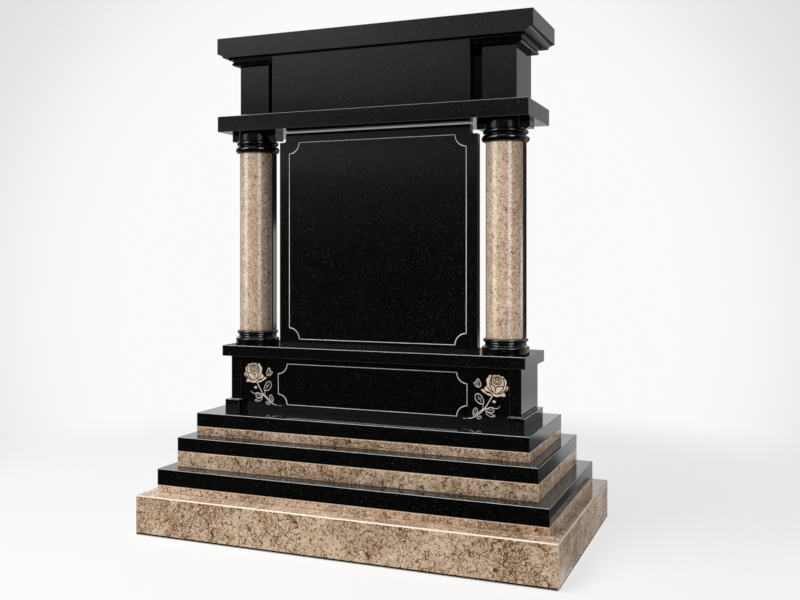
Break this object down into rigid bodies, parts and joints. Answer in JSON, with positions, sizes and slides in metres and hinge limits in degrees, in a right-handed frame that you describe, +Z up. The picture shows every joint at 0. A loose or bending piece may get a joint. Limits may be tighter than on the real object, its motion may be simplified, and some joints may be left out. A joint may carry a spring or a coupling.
{
  "type": "headstone",
  "caption": "Family memorial in polished black and brown granite: a stepped base, a pedestal, engaged columns beside a standing tablet, and an attic under a cornice",
  "frame": {"origin": "on the ground under the middle of the base plinth", "axes": "+Z up; the front with the tablet's face towards -Y; X along the width"},
  "size_m": [1.5, 0.845, 1.79],
  "materials": {
    "black_granite": "polished",
    "brown_granite": "polished"
  },
  "bodies": {
    "root": {"base_plinth": "brown_granite", "lower_course": "brown_granite", "lower_step": "black_granite", "middle_course": "brown_granite", "middle_step": "black_granite", "upper_course": "brown_granite", "upper_step": "black_granite", "pedestal_die": "black_granite", "pedestal_cap": "black_granite", "column_base_left": "black_granite", "column_base_right": "black_granite", "column_shaft_left": "brown_granite", "column_shaft_right": "brown_granite", "back_pilaster_left": "black_granite", "back_pilaster_right": "black_granite", "column_capital_left": "black_granite", "column_capital_right": "black_granite", "tablet": "black_granite", "lintel": "black_granite", "attic_frieze": "black_granite", "attic_pier_left": "black_granite", "attic_pier_right": "black_granite", "cornice": "black_granite"}
  },
  "joints": []
}
